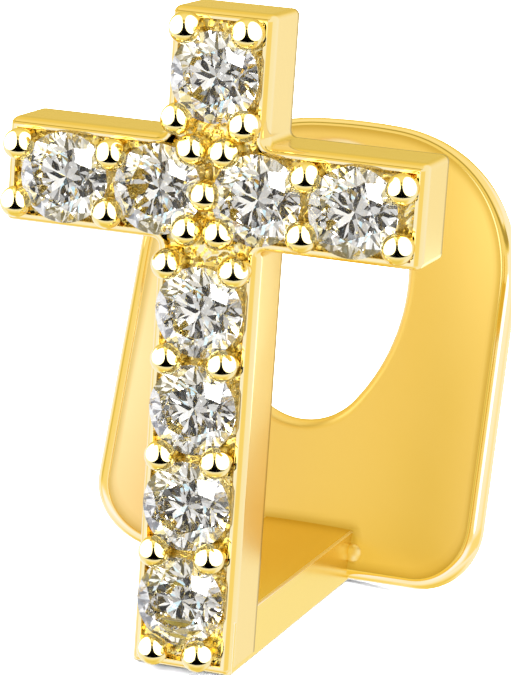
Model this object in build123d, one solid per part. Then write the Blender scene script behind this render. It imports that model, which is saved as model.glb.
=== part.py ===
from build123d import *
import math
import os

# Tooth cover: a stone-set cross, a bridge at its foot and a curved back plate.
# Millimetres, +Z up, the cross faces -Y, the part stands on its foot at Z = 0.
# The shape is drawn with X = 0 on the cross's centre line and Y = 0 on its front face,
# and is moved at the end so that the origin lies under the middle of the whole part.

# Stones: round brilliants
stone_width = 1.75
table_width = 1.0
crown_height = 0.28
girdle_height = 0.05
pavilion_depth = 0.75
star_reach = 0.5
lower_facet_reach = 0.77
stone_gap = 0.03
girdle_rise = 0.22

# Rows of stones on the cross: metal between neighbouring stones
row_stones_each_side = 2
shaft_stones = 4
row_spacing = 0.16
centre_spacing = 0.23
top_stone_spacing = 0.49
shaft_stone_spacing = 0.52

# Cross setting: metal outside the stones, and the setting's own sizes
bar_side_margin = 0.15
arm_end_margin = 0.425
top_end_margin = 0.375
foot_end_margin = 0.565
cross_depth = 1.76
rim_wall = 0.19
rim_flat = 0.06
recess_depth = 0.18
outline_round = 0.14
back_round = 0.22

# Beads that hold the stones: insets run from the edges of the cross to the beads' centres
bead_radius = 0.31
bead_post_radius = 0.265
bead_post_root = 0.14
bead_rise = 0.1
side_bead_inset = 0.465
end_bead_inset = 0.37
top_bead_side_inset = 0.405
foot_bead_side_inset = 0.565
foot_bead_inset = 0.44
shoulder_bead_rise = 0.37
shoulder_bead_side_inset = 0.355
upper_pair_rise = 0.84
lower_pair_drop = 0.7
inner_pair_half_spread = 0.32

# Bridge from the foot to the plate
bridge_thickness = 1.1
bridge_bite = 0.15

# Back plate
tooth_space = 6.05
plate_thickness = 0.45
plate_lean = 16.3
plate_curve_radius = 8.0
plate_shift = -0.28
plate_height = 9.98
plate_bottom_half = 4.23
plate_top_half = 4.05
plate_bottom_corner = 1.4
plate_crown_half = 0.5
plate_top_crown = 0.28
plate_inner_round = 0.19
plate_back_round = 0.22

# Window in the plate
window_shift = -0.32
window_half_width = 1.92
window_end_share = 0.72
window_top_margin = 0.72
window_bottom_margin = 3.3
window_inner_round = 0.28
window_back_round = 0.08

# Lengths closer than this count as equal
same_size = 1e-6

# Places that follow from the sizes above
stone_radius = stone_width / 2
stone_pitch = stone_width + row_spacing
girdle_y = -girdle_rise
bar_half = stone_radius + bar_side_margin
inner_row_x = stone_radius + centre_spacing / 2
arm_reach = inner_row_x + (row_stones_each_side - 1) * stone_pitch + stone_radius + arm_end_margin
top_stone_rise = stone_width + top_stone_spacing
first_shaft_drop = stone_width + shaft_stone_spacing
last_shaft_drop = first_shaft_drop + (shaft_stones - 1) * stone_pitch
crossing_z = last_shaft_drop + stone_radius + foot_end_margin
cross_top_z = crossing_z + top_stone_rise + stone_radius + top_end_margin
plate_y = cross_depth + tooth_space
lean = math.radians(plate_lean)


def stone_places():
    """Name and (x, z) of every stone."""
    places = {"stone_top": (0, crossing_z + top_stone_rise)}
    last = row_stones_each_side
    for count in range(2 * row_stones_each_side):
        if count < last:
            x = -inner_row_x - (last - 1 - count) * stone_pitch
        else:
            x = inner_row_x + (count - last) * stone_pitch
        places[f"stone_row_{count + 1}"] = (x, crossing_z)
    for count in range(shaft_stones):
        z = crossing_z - first_shaft_drop - count * stone_pitch
        places[f"stone_shaft_{count + 1}"] = (0, z)
    return places


def bead_places():
    """The (x, z) of every bead: pairs in the gaps, at the ends and round the crossing."""
    side = bar_half - side_bead_inset
    shoulder_x = bar_half - shoulder_bead_side_inset
    shoulder_z = bar_half + shoulder_bead_rise
    pairs = [
        (bar_half - foot_bead_side_inset, foot_bead_inset),
        (shoulder_x, crossing_z - shoulder_z),
        (shoulder_x, crossing_z + shoulder_z),
        (inner_pair_half_spread, crossing_z + upper_pair_rise),
        (inner_pair_half_spread, crossing_z - lower_pair_drop),
        (bar_half - top_bead_side_inset, cross_top_z - end_bead_inset),
        (arm_reach - end_bead_inset, crossing_z + side),
        (arm_reach - end_bead_inset, crossing_z - side),
    ]
    for count in range(1, shaft_stones):
        pairs.append((side, crossing_z - first_shaft_drop - (count - 0.5) * stone_pitch))
    for count in range(1, row_stones_each_side):
        x = inner_row_x + (count - 0.5) * stone_pitch
        pairs.append((x, crossing_z + side))
        pairs.append((x, crossing_z - side))
    places = [(0, crossing_z)]
    for x, z in pairs:
        places += [(-x, z), (x, z)]
    return places


def facing_front(x, y, z):
    """Location whose local +Z looks out of the front of the cross."""
    return Pos(x, y, z) * Rot(90, 0, 0)


def brilliant():
    """One stone, its axis on Z, the middle of its girdle at Z = 0, its table up."""
    def ring(radius, height, count, turn=0.0):
        angles = [2 * math.pi * k / count + turn for k in range(count)]
        return [(radius * math.cos(a), radius * math.sin(a), height) for a in angles]

    half_step = math.pi / 8
    top = girdle_height / 2
    table_radius = table_width / 2
    crown_slope = crown_height / (stone_radius - table_radius)
    pavilion_slope = pavilion_depth / stone_radius
    table_edge = table_radius * math.cos(half_step)
    star_radius = table_edge + star_reach * (stone_radius - table_edge)
    star_z = top + (stone_radius - star_radius * math.cos(half_step)) * crown_slope
    low_radius = stone_radius * (1 - lower_facet_reach)
    low_z = -top - (stone_radius - low_radius * math.cos(half_step)) * pavilion_slope
    points = ring(table_radius, top + crown_height, 8)
    points += ring(star_radius, star_z, 8, half_step)
    points += ring(stone_radius, top, 16)
    points += ring(stone_radius, -top, 16)
    points += ring(low_radius, low_z, 8, half_step)
    points.append((0, 0, -top - pavilion_depth))
    return ConvexPolyhedron(points)


def stone_seat():
    """The round space that a stone fills, wider than it by the gap on every side."""
    rim = stone_radius + stone_gap
    top = girdle_height / 2 + stone_gap
    outline = Polyline(
        (0, -top - pavilion_depth - stone_gap),
        (stone_gap, -top - pavilion_depth - stone_gap),
        (rim, -top),
        (rim, top),
        (table_width / 2 + stone_gap, top + crown_height),
        (0, top + crown_height),
        close=True,
    )
    return revolve(Plane.XZ * make_face(outline), Axis.Z)


def cross_outline(inset):
    """Front outline of the cross, pulled in by inset on every side."""
    upright = Rectangle(2 * (bar_half - inset), cross_top_z - 2 * inset)
    row = Rectangle(2 * (arm_reach - inset), 2 * (bar_half - inset))
    return Pos(0, cross_top_z / 2) * upright + Pos(0, crossing_z) * row


def cross_setting():
    """The cross with its rounded edges, sunk floor, posts and beads, and stone seats."""
    outline = cross_outline(0)
    outline = fillet(outline.vertices(), outline_round)
    body = extrude(Plane.XZ * outline, amount=-cross_depth)
    body = fillet(body.faces().sort_by(Axis.Y)[-1].edges(), back_round)
    body = fillet(body.faces().sort_by(Axis.Y)[0].edges(), rim_wall - rim_flat)
    body -= extrude(Plane.XZ * cross_outline(rim_wall), amount=-recess_depth)
    bead_y = girdle_y - bead_rise
    post_length = recess_depth - bead_y + bead_post_root
    post = Cylinder(bead_post_radius, post_length, align=(Align.CENTER, Align.CENTER, Align.MAX))
    for x, z in bead_places():
        spot = facing_front(x, bead_y, z)
        body += spot * post + spot * Sphere(bead_radius)
    return body


def bridge():
    """Bar from inside the foot to a little inside the plate, its far end leaning as the plate does."""
    start_y = outline_round
    end_y = plate_y + bridge_bite
    side = Polyline(
        (start_y, 0),
        (end_y, 0),
        (end_y + bridge_thickness * math.tan(lean), bridge_thickness),
        (start_y, bridge_thickness),
        close=True,
    )
    return extrude(Plane.YZ * make_face(side), amount=bar_half, both=True)


def plate_outline():
    """Outline of the plate laid flat: a rounded block, crowned and a little narrower at the top."""
    shoulder = plate_height - plate_top_crown
    low_left = (-plate_bottom_half, 0)
    low_right = (plate_bottom_half, 0)
    top_right = (plate_top_half, shoulder)
    top_left = (-plate_top_half, shoulder)
    sides = Polyline(top_left, low_left, low_right, top_right)
    crown = ThreePointArc(top_right, (0, plate_height), top_left)
    face = make_face([sides, crown])
    face = fillet([v for v in face.vertices() if v.Y < shoulder / 2], plate_bottom_corner)
    top_corner = plate_top_half - plate_crown_half
    return fillet([v for v in face.vertices() if v.Y > shoulder - same_size], top_corner)


def window_outline():
    """Upright oval of four tangent arcs, its foot on the origin."""
    wide = window_half_width
    high = (plate_height - window_top_margin - window_bottom_margin) / 2
    end_radius = window_end_share * wide
    end_centre = high - end_radius
    side_radius = (wide**2 + end_centre**2 - end_radius**2) / (2 * (wide - end_radius))
    side_centre = side_radius - wide
    spread = math.atan2(end_centre, side_centre)
    join_x = side_radius * math.cos(spread) - side_centre
    join_z = side_radius * math.sin(spread)
    joins = [(join_x, -join_z), (join_x, join_z), (-join_x, join_z), (-join_x, -join_z)]
    tips = [(wide, 0), (0, high), (-wide, 0), (0, -high)]
    arcs = [ThreePointArc(joins[k], tips[k], joins[(k + 1) % 4]) for k in range(4)]
    return Pos(0, high) * make_face(arcs)


def curved_face(plate, radius):
    """The large face of the plate that has this radius."""
    faces = [f for f in plate.faces().filter_by(GeomType.CYLINDER) if abs(f.radius - radius) < same_size]
    return sorted(faces, key=lambda f: f.area)[-1]


def back_plate():
    """Curved plate with its window, drawn upright and then leaned back from the foot."""
    tube = Pos(0, -plate_curve_radius, plate_height / 2) * Cylinder(plate_curve_radius, 2 * plate_height)
    shell = tube.faces().filter_by(GeomType.CYLINDER)[0]
    reach = plate_curve_radius
    inner_face = shell & extrude(Plane.XZ * plate_outline(), amount=reach, both=True)
    plate = thicken(inner_face, plate_thickness)
    window = Pos(window_shift, window_bottom_margin) * window_outline()
    plate -= extrude(Plane.XZ * window, amount=reach, both=True)
    back_radius = plate_curve_radius + plate_thickness
    plate = fillet(curved_face(plate, plate_curve_radius).outer_wire().edges(), plate_inner_round)
    plate = fillet(curved_face(plate, back_radius).outer_wire().edges(), plate_back_round)
    plate = fillet(curved_face(plate, plate_curve_radius).inner_wires()[0].edges(), window_inner_round)
    plate = fillet(curved_face(plate, back_radius).inner_wires()[0].edges(), window_back_round)
    lift = plate_back_round * (1 - math.cos(lean)) + (plate_thickness - plate_back_round) * math.sin(lean)
    return Pos(plate_shift, plate_y, lift) * Rot(-plate_lean, 0, 0) * plate


def main():
    os.makedirs("parts", exist_ok=True)
    places = stone_places()
    stone = brilliant()
    seat = stone_seat()
    cap = cross_setting() + bridge() + back_plate()
    for x, z in places.values():
        cap -= facing_front(x, girdle_y, z) * seat
    nodes = {"cap_metal": cap}
    for name, (x, z) in places.items():
        nodes[name] = facing_front(x, girdle_y, z) * stone
    box = Compound(list(nodes.values())).bounding_box()
    middle = Pos(-box.center().X, -box.center().Y, -box.min.Z)
    for name, solid in nodes.items():
        export_step(middle * solid, f"parts/{name}.step")
    print("moved by", -box.center().X, -box.center().Y, -box.min.Z, "size", box.size)


main()
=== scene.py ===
# Looks of the tooth cover: a gold cross set with brilliants, its bridge and its curved back plate.
# Shapes are drawn in millimetres in the cross's own axes: X = 0 on its centre line, Y = 0 on its
# front face, Z = 0 at its foot. Each mesh is then brought into the part's frame, in metres.
import math

import bmesh
import bpy
import numpy as np
from mathutils import Matrix, Vector, noise


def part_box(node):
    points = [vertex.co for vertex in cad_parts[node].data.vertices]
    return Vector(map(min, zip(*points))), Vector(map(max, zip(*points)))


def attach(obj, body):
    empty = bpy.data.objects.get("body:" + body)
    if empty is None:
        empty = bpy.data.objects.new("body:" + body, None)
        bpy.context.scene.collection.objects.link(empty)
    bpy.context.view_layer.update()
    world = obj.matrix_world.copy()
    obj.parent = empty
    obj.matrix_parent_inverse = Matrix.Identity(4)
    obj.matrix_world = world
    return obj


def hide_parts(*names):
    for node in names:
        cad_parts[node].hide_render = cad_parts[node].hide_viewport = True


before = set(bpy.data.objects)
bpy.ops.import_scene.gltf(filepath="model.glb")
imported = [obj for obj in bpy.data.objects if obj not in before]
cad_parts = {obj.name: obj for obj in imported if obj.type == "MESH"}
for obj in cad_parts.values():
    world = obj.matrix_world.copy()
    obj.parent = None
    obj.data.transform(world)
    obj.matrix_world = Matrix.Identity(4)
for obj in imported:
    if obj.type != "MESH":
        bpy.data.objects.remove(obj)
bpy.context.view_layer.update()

MM = 0.001

# How finely shapes are drawn
ROUND_STEPS = 8
OUTLINE_STEPS = 24
MERGE_DISTANCE = 0.0002
SHARP_ANGLE = 40.0
GRAIN_SHARP_ANGLE = 50.0

# Stones: round brilliants
TABLE_RADIUS = 0.5
CROWN_HEIGHT = 0.28
GIRDLE_HEIGHT = 0.05
PAVILION_DEPTH = 0.75
STAR_REACH = 0.5
LOWER_FACET_REACH = 0.77
STONE_GAP = 0.03
GIRDLE_RISE = 0.22
GIRDLE_SIDES = 96
MAIN_FACETS = 8
CUT_TOLERANCE = 1e-6

# Cross setting
BAR_SIDE_MARGIN = 0.15
ARM_END_MARGIN = 0.425
TOP_END_MARGIN = 0.375
CROSS_DEPTH = 1.76
RIM_WALL = 0.19
RIM_FLAT = 0.06
RIM_INNER_ROUND = 0.015
RIM_FRONT_DEPTH = 0.32
RECESS_DEPTH = 0.18
POCKET_DEPTH = 0.78
OUTLINE_ROUND = 0.14
BACK_ROUND = 0.22
EDGE_STEP = 0.004

# Grained floor of the setting
GRAIN_CELL = 0.036
GRAIN_HEIGHT = 0.08
GRAIN_SIZE = 0.19
RIDGE_SHARE = 0.65
FINE_GRAIN = 2.3
FLOOR_OVERLAP = 0.02
FLOOR_BACK = 0.72

# Beads
BEAD_RADIUS = 0.31
BEAD_POST_RADIUS = 0.265
BEAD_POST_ROOT = 0.14
BEAD_RISE = 0.1
SIDE_BEAD_INSET = 0.465
END_BEAD_INSET = 0.37
TOP_BEAD_SIDE_INSET = 0.405
FOOT_BEAD_SIDE_INSET = 0.565
FOOT_BEAD_INSET = 0.44
SHOULDER_BEAD_RISE = 0.37
SHOULDER_BEAD_SIDE_INSET = 0.355
UPPER_PAIR_RISE = 0.84
LOWER_PAIR_DROP = 0.7
INNER_PAIR_HALF_SPREAD = 0.32
BEAD_SEGMENTS = 48
BEAD_RINGS = 26
BEAD_POST_SIDES = 32
BEAD_SIZE_SPREAD = 0.01
BEAD_SEED = 4

# Bridge
BRIDGE_THICKNESS = 1.1
BRIDGE_BITE = 0.15
BRIDGE_EDGE_ROUND = 0.045
BRIDGE_EDGE_STEPS = 5
BRIDGE_FLUSH_STEP = 0.002

# Back plate
TOOTH_SPACE = 6.05
PLATE_THICKNESS = 0.45
PLATE_LEAN = math.radians(16.3)
PLATE_CURVE = 8.0
PLATE_SHIFT = -0.28
PLATE_HEIGHT = 9.98
PLATE_BOTTOM_HALF = 4.23
PLATE_TOP_HALF = 4.05
PLATE_BOTTOM_CORNER = 1.4
PLATE_TOP_CORNER = 3.5
PLATE_CROWN = 0.28
PLATE_CROWN_ROUND = 10.0
PLATE_INNER_ROUND = 0.19
PLATE_BACK_ROUND = 0.22
PLATE_SPOKES = 320
PLATE_LOOPS = 28
# How far the painted shade reaches: beside the plate's rim and the bridge, the floor's walls and beads, the
# setting's pocket and back edge
RIM_SHADE_REACH = 0.22
FLOOR_SHADE_REACH = 0.12
BACK_SHADE_SHIFT = 0.02
BACK_SHADE_REACH = 0.1

# Window in the plate
WINDOW_SHIFT = -0.32
WINDOW_HALF_WIDTH = 1.92
WINDOW_END_SHARE = 0.72
WINDOW_TOP_MARGIN = 0.72
WINDOW_BOTTOM_MARGIN = 3.3
WINDOW_INNER_ROUND = 0.28
WINDOW_BACK_ROUND = 0.08

# Solder beside the bridge
SOLDER_SIZE = (0.2, 0.1, 0.2)
SOLDER_OUT = 0.08
SOLDER_UP = 0.56
SOLDER_SEGMENTS = 40
SOLDER_RINGS = 24

# Places that follow from the stones' own places in the frame
STONES = sorted(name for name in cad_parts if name.startswith("stone_"))


def stone_box(name):
    """Lowest and highest corner of a stone, in millimetres."""
    low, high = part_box(name)
    return low / MM, high / MM


top_low, top_high = stone_box("stone_top")
STONE_RADIUS = (top_high.x - top_low.x) / 2
CENTRE_X = (top_high.x + top_low.x) / 2
FRONT_Y = top_low.y + CROWN_HEIGHT + GIRDLE_HEIGHT / 2 + GIRDLE_RISE
TO_PART = Matrix.Scale(MM, 4) @ Matrix.Translation((CENTRE_X, FRONT_Y, 0.0))

STONE_SPOTS = {}
for stone in STONES:
    low, high = stone_box(stone)
    middle = (low + high) / 2
    STONE_SPOTS[stone] = (middle.x - CENTRE_X, middle.z)
CROSSING_Z = STONE_SPOTS["stone_row_1"][1]
ROW_X = sorted(x for name, (x, z) in STONE_SPOTS.items() if name.startswith("stone_row"))
SHAFT_Z = sorted(z for name, (x, z) in STONE_SPOTS.items() if name.startswith("stone_shaft"))
BAR_HALF = STONE_RADIUS + BAR_SIDE_MARGIN
ARM_REACH = ROW_X[-1] + STONE_RADIUS + ARM_END_MARGIN
TOP_Z = STONE_SPOTS["stone_top"][1] + STONE_RADIUS + TOP_END_MARGIN
GIRDLE_Y = -GIRDLE_RISE
BEAD_Y = GIRDLE_Y - BEAD_RISE
PLATE_Y = CROSS_DEPTH + TOOTH_SPACE
PLATE_LIFT = (PLATE_BACK_ROUND * (1 - math.cos(PLATE_LEAN))
              + (PLATE_THICKNESS - PLATE_BACK_ROUND) * math.sin(PLATE_LEAN))


# Mesh helpers
def new_object(name, data):
    made = bpy.data.objects.new(name, data)
    bpy.context.scene.collection.objects.link(made)
    return made


def mesh_piece(name, points, faces, material):
    """A smooth new object at the origin, its place in its mesh, with faces pointing outwards."""
    mesh = bpy.data.meshes.new(name)
    mesh.from_pydata([tuple(p) for p in points], [], faces)
    mesh.transform(TO_PART)
    shape = bmesh.new()
    shape.from_mesh(mesh)
    bmesh.ops.remove_doubles(shape, verts=shape.verts, dist=MERGE_DISTANCE * MM)
    bmesh.ops.recalc_face_normals(shape, faces=shape.faces)
    shape.to_mesh(mesh)
    shape.free()
    mesh.materials.append(material)
    mesh.shade_smooth()
    return new_object(name, mesh)


def plain_mesh(piece):
    """The piece with its modifiers turned into plain mesh."""
    graph = bpy.context.evaluated_depsgraph_get()
    made = bpy.data.meshes.new_from_object(piece.evaluated_get(graph))
    piece.modifiers.clear()
    piece.data = made
    return piece


def sharpen(piece, degrees):
    """Marks edges sharper than this angle, so that flat faces beside them stay flat."""
    piece.data.set_sharp_from_angle(angle=math.radians(degrees))
    return piece


def painted_edge_shade(piece, distances, reach):
    """Stores how much painted shade each point takes from its nearness to an edge: 1 on it, 0 from reach
    on.
    """
    share = np.clip(1 - np.array(distances) / reach, 0.0, 1.0)
    layer = piece.data.attributes.new("painted_edge_shade", "FLOAT", "POINT")
    layer.data.foreach_set("value", (share * share * (3 - 2 * share)).astype(np.float32))


def second_finish(piece, material, faces):
    """Gives these faces, numbered in the order they were made, another material."""
    piece.data.materials.append(material)
    for face in faces:
        piece.data.polygons[face].material_index = 1
    return piece


def ring_faces(rings, count):
    """Quads that join closed rings of the same number of points, one after another."""
    faces = []
    for ring in range(rings - 1):
        for k in range(count):
            after = (k + 1) % count
            faces.append((ring * count + k, ring * count + after,
                          (ring + 1) * count + after, (ring + 1) * count + k))
    return faces


def quarter(radius, start=0.0, end=math.pi / 2, steps=ROUND_STEPS):
    """Points of an arc from start to end, as (cosine, sine) times the radius."""
    for k in range(steps + 1):
        angle = start + (end - start) * k / steps
        yield radius * math.cos(angle), radius * math.sin(angle)


def direction(azimuth, elevation):
    """Unit vector at this azimuth from the front, positive to the right, and elevation, in radians."""
    level = math.cos(elevation)
    return Vector((math.sin(azimuth) * level, -math.cos(azimuth) * level, math.sin(elevation)))


# Node helpers
def add_sockets(tree, way, kinds):
    """Gives a group inputs or outputs, from their labels and kinds."""
    for label, kind in kinds.items():
        tree.interface.new_socket(label, in_out=way, socket_type="NodeSocket" + kind)


def add_node(tree, kind, inputs=None, **settings):
    """A new node with these settings, its inputs linked to other sockets or set to values."""
    node = tree.nodes.new(kind)
    for label, value in settings.items():
        setattr(node, label, value)
    for socket, value in (inputs or {}).items():
        if isinstance(value, bpy.types.NodeSocket):
            tree.links.new(value, node.inputs[socket])
        else:
            node.inputs[socket].default_value = value
    return node


# Cross setting
def cross_corners(inset):
    """The twelve corners of the cross's outline pulled in by inset, and whether each stands out."""
    bar = BAR_HALF - inset
    arm = ARM_REACH - inset
    low, high = inset, TOP_Z - inset
    under, over = CROSSING_Z - bar, CROSSING_Z + bar
    right = [
        ((bar, low), True), ((bar, under), False), ((arm, under), True),
        ((arm, over), True), ((bar, over), False), ((bar, high), True),
    ]
    return right + [((-x, z), stands_out) for (x, z), stands_out in reversed(right)]


def cross_ring(inset, y):
    """One closed ring of the setting: the outline at this inset, its corners rounded, at depth y."""
    corners = cross_corners(inset)
    count = len(corners)
    ring = []
    for k, ((x, z), stands_out) in enumerate(corners):
        before = Vector(corners[k - 1][0])
        after = Vector(corners[(k + 1) % count][0])
        corner = Vector((x, z))
        radius = max(OUTLINE_ROUND - inset, EDGE_STEP) if stands_out else OUTLINE_ROUND + inset
        way_in = (corner - before).normalized()
        way_out = (after - corner).normalized()
        centre = corner - way_in * radius + way_out * radius
        ring.append(corner - way_in * (radius + EDGE_STEP))
        for across, along in quarter(radius):
            ring.append(centre - way_out * across + way_in * along)
        ring.append(corner + way_out * (radius + EDGE_STEP))
    return [(p.x, y, p.y) for p in ring]


def cross_setting(material, wall_material):
    """The cross: a pocket for the stones behind a narrow rim, brushed walls and a flat back."""
    front_round = RIM_WALL - RIM_FLAT
    rings = [(RIM_WALL, POCKET_DEPTH), (RIM_WALL, RIM_INNER_ROUND + EDGE_STEP)]
    inner_edge = RIM_WALL - RIM_INNER_ROUND
    rings += [(inner_edge + c, RIM_INNER_ROUND - s) for c, s in quarter(RIM_INNER_ROUND)]
    rings.append((front_round + EDGE_STEP, 0.0))
    rings += [(front_round * (1 - s), RIM_FRONT_DEPTH * (1 - c)) for c, s in quarter(1.0)]
    rim_bands = len(rings)
    rings.append((0.0, RIM_FRONT_DEPTH + EDGE_STEP))
    wall_end = CROSS_DEPTH - BACK_ROUND
    # A ring that bounds the painted dark line along the back edge
    rings.append((0.0, wall_end - BACK_SHADE_REACH))
    rings.append((0.0, wall_end - EDGE_STEP))
    wall_bands = len(rings) - 1
    rings += [(BACK_ROUND - c, wall_end + s) for c, s in quarter(BACK_ROUND)]
    rings.append((BACK_ROUND + EDGE_STEP, CROSS_DEPTH))
    points = []
    for inset, y in rings:
        points += cross_ring(inset, y)
    count = len(points) // len(rings)
    faces = ring_faces(len(rings), count)
    faces.append(tuple(range(count)))
    faces.append(tuple(range(len(points) - 1, len(points) - 1 - count, -1)))
    piece = sharpen(mesh_piece("cross_setting", points, faces, material), SHARP_ANGLE)
    # Painted shade: the walls darken at the pocket's bottom and in a thin dark line along the back edge
    painted_dark_lines = (POCKET_DEPTH, wall_end + BACK_SHADE_SHIFT)
    near = [min(abs(y - line) for line in painted_dark_lines) for inset, y in rings]
    painted_edge_shade(piece, np.repeat(near, count), BACK_SHADE_REACH)
    return second_finish(piece, wall_material, range(rim_bands * count, wall_bands * count))


# Grained floor
def seat_depth(x, z):
    """How deep the stones' seats reach at this spot: a cone under each stone."""
    slope = PAVILION_DEPTH / STONE_RADIUS
    deepest = -1.0
    for spot_x, spot_z in STONE_SPOTS.values():
        off = math.hypot(x - spot_x, z - spot_z)
        if off < STONE_RADIUS:
            reach = STONE_RADIUS + STONE_GAP - off
            deepest = max(deepest, GIRDLE_Y + GIRDLE_HEIGHT / 2 + STONE_GAP + reach * slope)
    return deepest


def grain(x, z):
    """Uneven height of the hand-cut floor, from 0 to 1."""
    spot = Vector((x, 0.0, z)) / GRAIN_SIZE
    ridge = 1 - abs(noise.noise(spot)) * 2
    fine = 1 - abs(noise.noise(spot * FINE_GRAIN)) * 2
    return max(0.0, RIDGE_SHARE * ridge + (1 - RIDGE_SHARE) * fine)


def grid_lines(low, high, stops):
    """Evenly spaced lines from low to high that also pass through each stop."""
    lines = []
    marks = sorted({low, high, *stops})
    for start, end in zip(marks, marks[1:]):
        steps = max(1, round((end - start) / GRAIN_CELL))
        lines += [start + (end - start) * k / steps for k in range(steps)]
    return lines + [high]


def grained_floor(material, seat_material):
    """The floor between the rims: a grained slab with a bright cone sunk for each stone."""
    reach = RIM_WALL - FLOOR_OVERLAP
    bar, arm = BAR_HALF - reach, ARM_REACH - reach
    under, over = CROSSING_Z - bar, CROSSING_Z + bar
    columns = grid_lines(-arm, arm, (-bar, bar))
    rows = grid_lines(reach, TOP_Z - reach, (under, over))

    def inside(x, z):
        return abs(x) < bar or under < z < over

    def cell_middle(i, k):
        return (columns[i] + columns[i + 1]) / 2, (rows[k] + rows[k + 1]) / 2

    points, faces, spots = [], [], {}

    def spot(i, k, back):
        key = (i, k, back)
        if key not in spots:
            x, z = columns[i], rows[k]
            y = FLOOR_BACK
            if not back:
                y = max(RECESS_DEPTH - GRAIN_HEIGHT * grain(x, z), seat_depth(x, z))
            spots[key] = len(points)
            points.append((x, y, z))
        return spots[key]

    cells = set()
    for i in range(len(columns) - 1):
        for k in range(len(rows) - 1):
            if inside(*cell_middle(i, k)):
                cells.add((i, k))
    seats = []
    for i, k in sorted(cells):
        ring = [(i, k), (i + 1, k), (i + 1, k + 1), (i, k + 1)]
        if seat_depth(*cell_middle(i, k)) > RECESS_DEPTH - GRAIN_HEIGHT:
            seats.append(len(faces))
        faces.append(tuple(spot(a, b, False) for a, b in ring))
        faces.append(tuple(spot(a, b, True) for a, b in reversed(ring)))
        for side, beside in enumerate([(i, k - 1), (i + 1, k), (i, k + 1), (i - 1, k)]):
            if beside not in cells:
                a, b = ring[side], ring[(side + 1) % 4]
                faces.append((spot(*b, False), spot(*a, False), spot(*a, True), spot(*b, True)))
    piece = sharpen(mesh_piece("grained_floor", points, faces, material), GRAIN_SHARP_ANGLE)
    # Painted shade: the floor darkens next to the rim walls and round each bead's foot
    x, z = np.array(points)[:, 0], np.array(points)[:, 2]
    in_shaft = np.minimum(BAR_HALF - np.abs(x), np.minimum(z, TOP_Z - z))
    in_arms = np.minimum(ARM_REACH - np.abs(x), BAR_HALF - np.abs(z - CROSSING_Z))
    near = np.maximum(in_shaft, in_arms) - RIM_WALL
    for bead_x, bead_z in bead_spots():
        near = np.minimum(near, np.hypot(x - bead_x, z - bead_z) - BEAD_POST_RADIUS)
    painted_edge_shade(piece, near, FLOOR_SHADE_REACH)
    return second_finish(piece, seat_material, seats)


# Beads
def bead_spots():
    """The (x, z) of every bead: pairs in the gaps, at the ends and round the crossing."""
    side = BAR_HALF - SIDE_BEAD_INSET
    shoulder_x = BAR_HALF - SHOULDER_BEAD_SIDE_INSET
    shoulder_z = BAR_HALF + SHOULDER_BEAD_RISE
    pairs = [
        (BAR_HALF - FOOT_BEAD_SIDE_INSET, FOOT_BEAD_INSET),
        (shoulder_x, CROSSING_Z - shoulder_z),
        (shoulder_x, CROSSING_Z + shoulder_z),
        (INNER_PAIR_HALF_SPREAD, CROSSING_Z + UPPER_PAIR_RISE),
        (INNER_PAIR_HALF_SPREAD, CROSSING_Z - LOWER_PAIR_DROP),
        (BAR_HALF - TOP_BEAD_SIDE_INSET, TOP_Z - END_BEAD_INSET),
        (ARM_REACH - END_BEAD_INSET, CROSSING_Z + side),
        (ARM_REACH - END_BEAD_INSET, CROSSING_Z - side),
    ]
    for below, above in zip(SHAFT_Z, SHAFT_Z[1:]):
        pairs.append((side, (below + above) / 2))
    right_row = [x for x in ROW_X if x > 0]
    for near, far in zip(right_row, right_row[1:]):
        pairs.append(((near + far) / 2, CROSSING_Z + side))
        pairs.append(((near + far) / 2, CROSSING_Z - side))
    spots = [(0, CROSSING_Z)]
    for x, z in pairs:
        spots += [(-x, z), (x, z)]
    return spots


def bead_tree():
    """Geometry Nodes: a round-headed post set at each point, facing the front of the cross."""
    tree = bpy.data.node_groups.new("bead_setting", "GeometryNodeTree")
    add_sockets(tree, "INPUT", {
        "Spots": "Geometry", "Bead Radius": "Float", "Post Radius": "Float", "Post Length": "Float",
        "Size Spread": "Float", "Seed": "Int", "Finish": "Material"})
    add_sockets(tree, "OUTPUT", {"Beads": "Geometry"})
    given = tree.nodes.new("NodeGroupInput").outputs
    ball = add_node(tree, "GeometryNodeMeshUVSphere", {
        "Segments": BEAD_SEGMENTS, "Rings": BEAD_RINGS, "Radius": given["Bead Radius"]})
    post = add_node(tree, "GeometryNodeMeshCylinder", {
        "Vertices": BEAD_POST_SIDES, "Radius": given["Post Radius"], "Depth": given["Post Length"]})
    half = add_node(tree, "ShaderNodeMath", {0: given["Post Length"], 1: 0.5}, operation="MULTIPLY")
    offset = add_node(tree, "ShaderNodeCombineXYZ", {"Y": half.outputs["Value"]})
    lay = add_node(tree, "GeometryNodeTransform", {
        "Geometry": post.outputs["Mesh"], "Translation": offset.outputs["Vector"],
        "Rotation": (math.pi / 2, 0.0, 0.0)})
    join = add_node(tree, "GeometryNodeJoinGeometry", {"Geometry": ball.outputs["Mesh"]})
    tree.links.new(lay.outputs["Geometry"], join.inputs["Geometry"])
    smallest = add_node(tree, "ShaderNodeMath", {0: 1.0, 1: given["Size Spread"]}, operation="SUBTRACT")
    vary = add_node(tree, "FunctionNodeRandomValue", {
        2: smallest.outputs["Value"], 3: 1.0, "Seed": given["Seed"]}, data_type="FLOAT")
    place = add_node(tree, "GeometryNodeInstanceOnPoints", {
        "Points": given["Spots"], "Instance": join.outputs["Geometry"], "Scale": vary.outputs[1]})
    real = add_node(tree, "GeometryNodeRealizeInstances", {"Geometry": place.outputs["Instances"]})
    soft = add_node(tree, "GeometryNodeSetShadeSmooth", {"Geometry": real.outputs["Geometry"]})
    paint = add_node(tree, "GeometryNodeSetMaterial", {
        "Geometry": soft.outputs["Geometry"], "Material": given["Finish"]})
    add_node(tree, "NodeGroupOutput", {"Beads": paint.outputs["Geometry"]})
    return tree


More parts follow.
